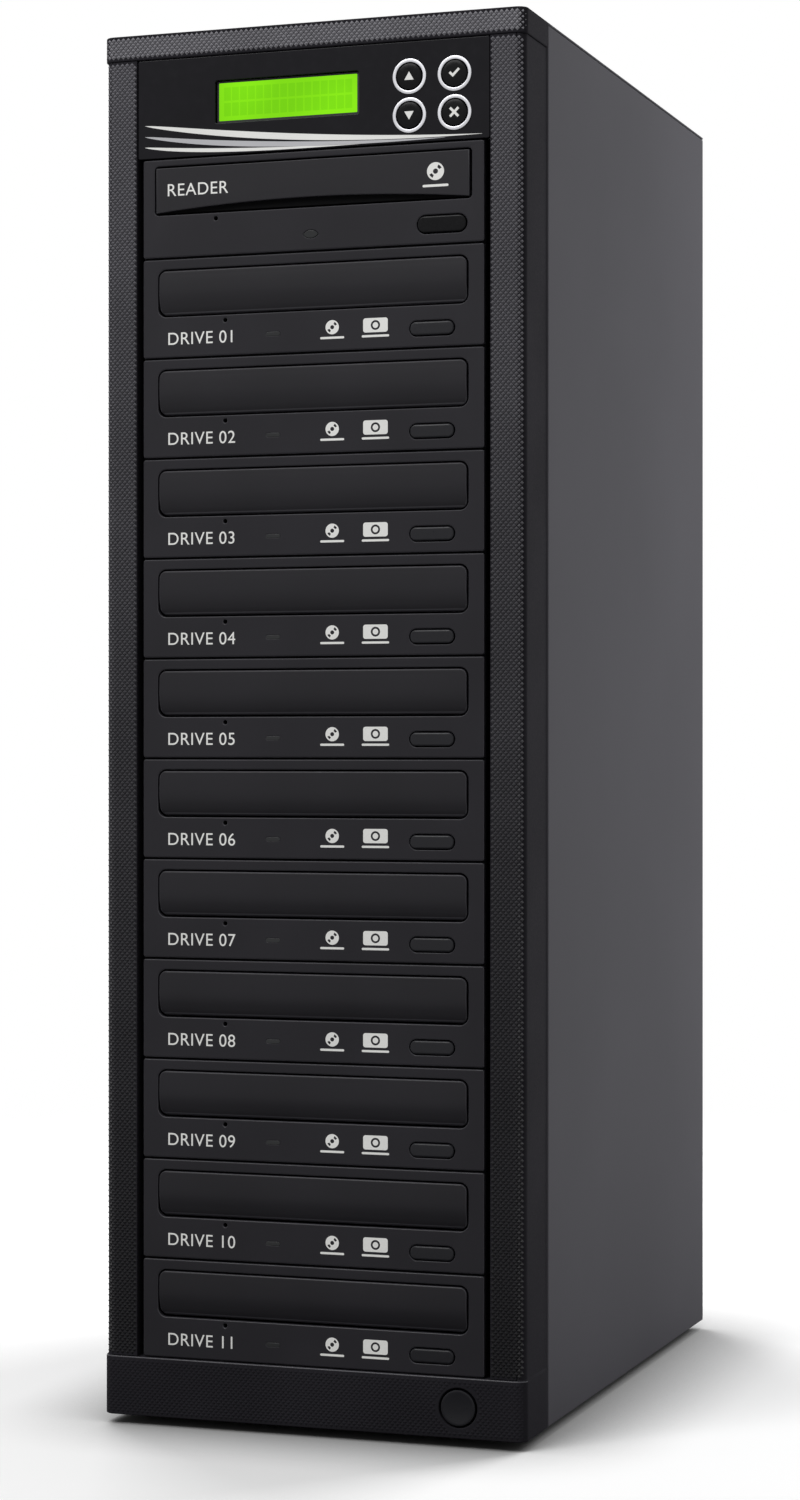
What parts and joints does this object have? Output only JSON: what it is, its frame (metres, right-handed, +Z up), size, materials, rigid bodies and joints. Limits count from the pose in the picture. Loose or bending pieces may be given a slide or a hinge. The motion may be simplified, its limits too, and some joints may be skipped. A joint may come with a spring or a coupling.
{
  "type": "disc duplicator tower",
  "caption": "Upright steel tower with a stack of loading-tray disc drives, a controller with a lit display and four round keys on top, and a push button in the base.",
  "frame": {"origin": "middle of the bounding box, on the surface that the feet stand on", "axes": "+Z up, +X to the right as seen from the front, -Y out of the front"},
  "size_m": [0.184, 0.301, 0.5785],
  "materials": {
    "zinc_steel": "zinc-plated sheet, dull",
    "powder_steel": "dark grey fine powder coat",
    "moulded_black": "fine-grained black moulding",
    "textured_trim": "black moulding with a fine mesh relief",
    "foot_rubber": "matt black rubber",
    "gloss_fascia": "gloss black panel",
    "display": "lit yellow-green character display",
    "silver_trim": "satin silver",
    "circuit_board": "green solder mask",
    "button_black": "satin black",
    "drive_black": "satin black moulding",
    "tray_black": "matt black moulding",
    "lamp_lens": "clear light pipe, unlit",
    "inlet_black": "black moulding",
    "fan_black": "black moulding",
    "guard_wire": "bright plated wire",
    "wiring": "sleeved cable"
  },
  "bodies": {
    "tower": {"base_pan": "zinc_steel", "rear_panel": "powder_steel", "left_panel": "powder_steel", "right_panel": "powder_steel", "top_cover": "powder_steel", "front_frame": "zinc_steel", "cage_walls": "zinc_steel", "front_bezel": "moulded_black", "top_cap": "textured_trim", "side_strips": "textured_trim", "feet": "foot_rubber", "control_fascia": "gloss_fascia", "lcd_module": "display", "key_rings": "silver_trim", "key_board": "circuit_board", "control_board": "circuit_board", "control_sled": "zinc_steel", "power_switch": "moulded_black", "reader_bezel": "drive_black", "burner_bezels": "drive_black", "lamp_lenses": "lamp_lens", "drive_covers": "zinc_steel", "drive_chassis": "tray_black", "psu_case": "zinc_steel", "psu_inlet": "inlet_black", "fan_frames": "fan_black", "fan_guards": "guard_wire", "wiring_looms": "wiring"},
    "power_button": {"power_button": "button_black"},
    "key_up": {"key_up": "button_black"},
    "key_down": {"key_down": "button_black"},
    "key_enter": {"key_enter": "button_black"},
    "key_escape": {"key_escape": "button_black"},
    "reader_tray": {"reader_tray": "drive_black"},
    "reader_eject": {"reader_eject": "button_black"},
    "case_fan_rotor": {"case_fan_rotor": "fan_black"},
    "psu_fan_rotor": {"psu_fan_rotor": "fan_black"},
    "psu_rocker": {"psu_rocker": "inlet_black"},
    "burner_tray_01": {"burner_tray_01": "drive_black"},
    "burner_tray_02": {"burner_tray_02": "drive_black"},
    "burner_tray_03": {"burner_tray_03": "drive_black"},
    "burner_tray_04": {"burner_tray_04": "drive_black"},
    "burner_tray_05": {"burner_tray_05": "drive_black"},
    "burner_tray_06": {"burner_tray_06": "drive_black"},
    "burner_tray_07": {"burner_tray_07": "drive_black"},
    "burner_tray_08": {"burner_tray_08": "drive_black"},
    "burner_tray_09": {"burner_tray_09": "drive_black"},
    "burner_tray_10": {"burner_tray_10": "drive_black"},
    "burner_tray_11": {"burner_tray_11": "drive_black"},
    "burner_eject_01": {"burner_eject_01": "button_black"},
    "burner_eject_02": {"burner_eject_02": "button_black"},
    "burner_eject_03": {"burner_eject_03": "button_black"},
    "burner_eject_04": {"burner_eject_04": "button_black"},
    "burner_eject_05": {"burner_eject_05": "button_black"},
    "burner_eject_06": {"burner_eject_06": "button_black"},
    "burner_eject_07": {"burner_eject_07": "button_black"},
    "burner_eject_08": {"burner_eject_08": "button_black"},
    "burner_eject_09": {"burner_eject_09": "button_black"},
    "burner_eject_10": {"burner_eject_10": "button_black"},
    "burner_eject_11": {"burner_eject_11": "button_black"}
  },
  "joints": [
    {"name": "power_button_press", "type": "slide", "parent": "tower", "child": "power_button", "axis": [0, 1, 0], "range_m": [0, 0.0025], "stiffness_N_per_m": 200},
    {"name": "key_up_press", "type": "slide", "parent": "tower", "child": "key_up", "axis": [0, 1, 0], "range_m": [0, 0.0009], "stiffness_N_per_m": 300},
    {"name": "key_down_press", "type": "slide", "parent": "tower", "child": "key_down", "axis": [0, 1, 0], "range_m": [0, 0.0009], "stiffness_N_per_m": 300},
    {"name": "key_enter_press", "type": "slide", "parent": "tower", "child": "key_enter", "axis": [0, 1, 0], "range_m": [0, 0.0009], "stiffness_N_per_m": 300},
    {"name": "key_escape_press", "type": "slide", "parent": "tower", "child": "key_escape", "axis": [0, 1, 0], "range_m": [0, 0.0009], "stiffness_N_per_m": 300},
    {"name": "reader_tray_slide", "type": "slide", "parent": "tower", "child": "reader_tray", "axis": [0, -1, 0], "range_m": [0, 0.14]},
    {"name": "reader_eject_press", "type": "slide", "parent": "tower", "child": "reader_eject", "axis": [0, 1, 0], "range_m": [0, 0.0015], "stiffness_N_per_m": 250},
    {"name": "burner_tray_01_slide", "type": "slide", "parent": "tower", "child": "burner_tray_01", "axis": [0, -1, 0], "range_m": [0, 0.14]},
    {"name": "burner_eject_01_press", "type": "slide", "parent": "tower", "child": "burner_eject_01", "axis": [0, 1, 0], "range_m": [0, 0.0015], "stiffness_N_per_m": 250},
    {"name": "burner_tray_02_slide", "type": "slide", "parent": "tower", "child": "burner_tray_02", "axis": [0, -1, 0], "range_m": [0, 0.14]},
    {"name": "burner_eject_02_press", "type": "slide", "parent": "tower", "child": "burner_eject_02", "axis": [0, 1, 0], "range_m": [0, 0.0015], "stiffness_N_per_m": 250},
    {"name": "burner_tray_03_slide", "type": "slide", "parent": "tower", "child": "burner_tray_03", "axis": [0, -1, 0], "range_m": [0, 0.14]},
    {"name": "burner_eject_03_press", "type": "slide", "parent": "tower", "child": "burner_eject_03", "axis": [0, 1, 0], "range_m": [0, 0.0015], "stiffness_N_per_m": 250},
    {"name": "burner_tray_04_slide", "type": "slide", "parent": "tower", "child": "burner_tray_04", "axis": [0, -1, 0], "range_m": [0, 0.14]},
    {"name": "burner_eject_04_press", "type": "slide", "parent": "tower", "child": "burner_eject_04", "axis": [0, 1, 0], "range_m": [0, 0.0015], "stiffness_N_per_m": 250},
    {"name": "burner_tray_05_slide", "type": "slide", "parent": "tower", "child": "burner_tray_05", "axis": [0, -1, 0], "range_m": [0, 0.14]},
    {"name": "burner_eject_05_press", "type": "slide", "parent": "tower", "child": "burner_eject_05", "axis": [0, 1, 0], "range_m": [0, 0.0015], "stiffness_N_per_m": 250},
    {"name": "burner_tray_06_slide", "type": "slide", "parent": "tower", "child": "burner_tray_06", "axis": [0, -1, 0], "range_m": [0, 0.14]},
    {"name": "burner_eject_06_press", "type": "slide", "parent": "tower", "child": "burner_eject_06", "axis": [0, 1, 0], "range_m": [0, 0.0015], "stiffness_N_per_m": 250},
    {"name": "burner_tray_07_slide", "type": "slide", "parent": "tower", "child": "burner_tray_07", "axis": [0, -1, 0], "range_m": [0, 0.14]},
    {"name": "burner_eject_07_press", "type": "slide", "parent": "tower", "child": "burner_eject_07", "axis": [0, 1, 0], "range_m": [0, 0.0015], "stiffness_N_per_m": 250},
    {"name": "burner_tray_08_slide", "type": "slide", "parent": "tower", "child": "burner_tray_08", "axis": [0, -1, 0], "range_m": [0, 0.14]},
    {"name": "burner_eject_08_press", "type": "slide", "parent": "tower", "child": "burner_eject_08", "axis": [0, 1, 0], "range_m": [0, 0.0015], "stiffness_N_per_m": 250},
    {"name": "burner_tray_09_slide", "type": "slide", "parent": "tower", "child": "burner_tray_09", "axis": [0, -1, 0], "range_m": [0, 0.14]},
    {"name": "burner_eject_09_press", "type": "slide", "parent": "tower", "child": "burner_eject_09", "axis": [0, 1, 0], "range_m": [0, 0.0015], "stiffness_N_per_m": 250},
    {"name": "burner_tray_10_slide", "type": "slide", "parent": "tower", "child": "burner_tray_10", "axis": [0, -1, 0], "range_m": [0, 0.14]},
    {"name": "burner_eject_10_press", "type": "slide", "parent": "tower", "child": "burner_eject_10", "axis": [0, 1, 0], "range_m": [0, 0.0015], "stiffness_N_per_m": 250},
    {"name": "burner_tray_11_slide", "type": "slide", "parent": "tower", "child": "burner_tray_11", "axis": [0, -1, 0], "range_m": [0, 0.14]},
    {"name": "burner_eject_11_press", "type": "slide", "parent": "tower", "child": "burner_eject_11", "axis": [0, 1, 0], "range_m": [0, 0.0015], "stiffness_N_per_m": 250},
    {"name": "case_fan_spin", "type": "hinge", "parent": "tower", "child": "case_fan_rotor", "pos_m": [0, 0.1345, 0.47], "axis": [0, 1, 0], "continuous": true},
    {"name": "psu_fan_spin", "type": "hinge", "parent": "tower", "child": "psu_fan_rotor", "pos_m": [0.0023, 0.1385, 0.03675], "axis": [0, 1, 0], "continuous": true},
    {"name": "psu_rocker_tilt", "type": "hinge", "parent": "tower", "child": "psu_rocker", "pos_m": [0.0628, 0.144, 0.02685], "axis": [1, 0, 0], "range_deg": [-18, 0]}
  ]
}
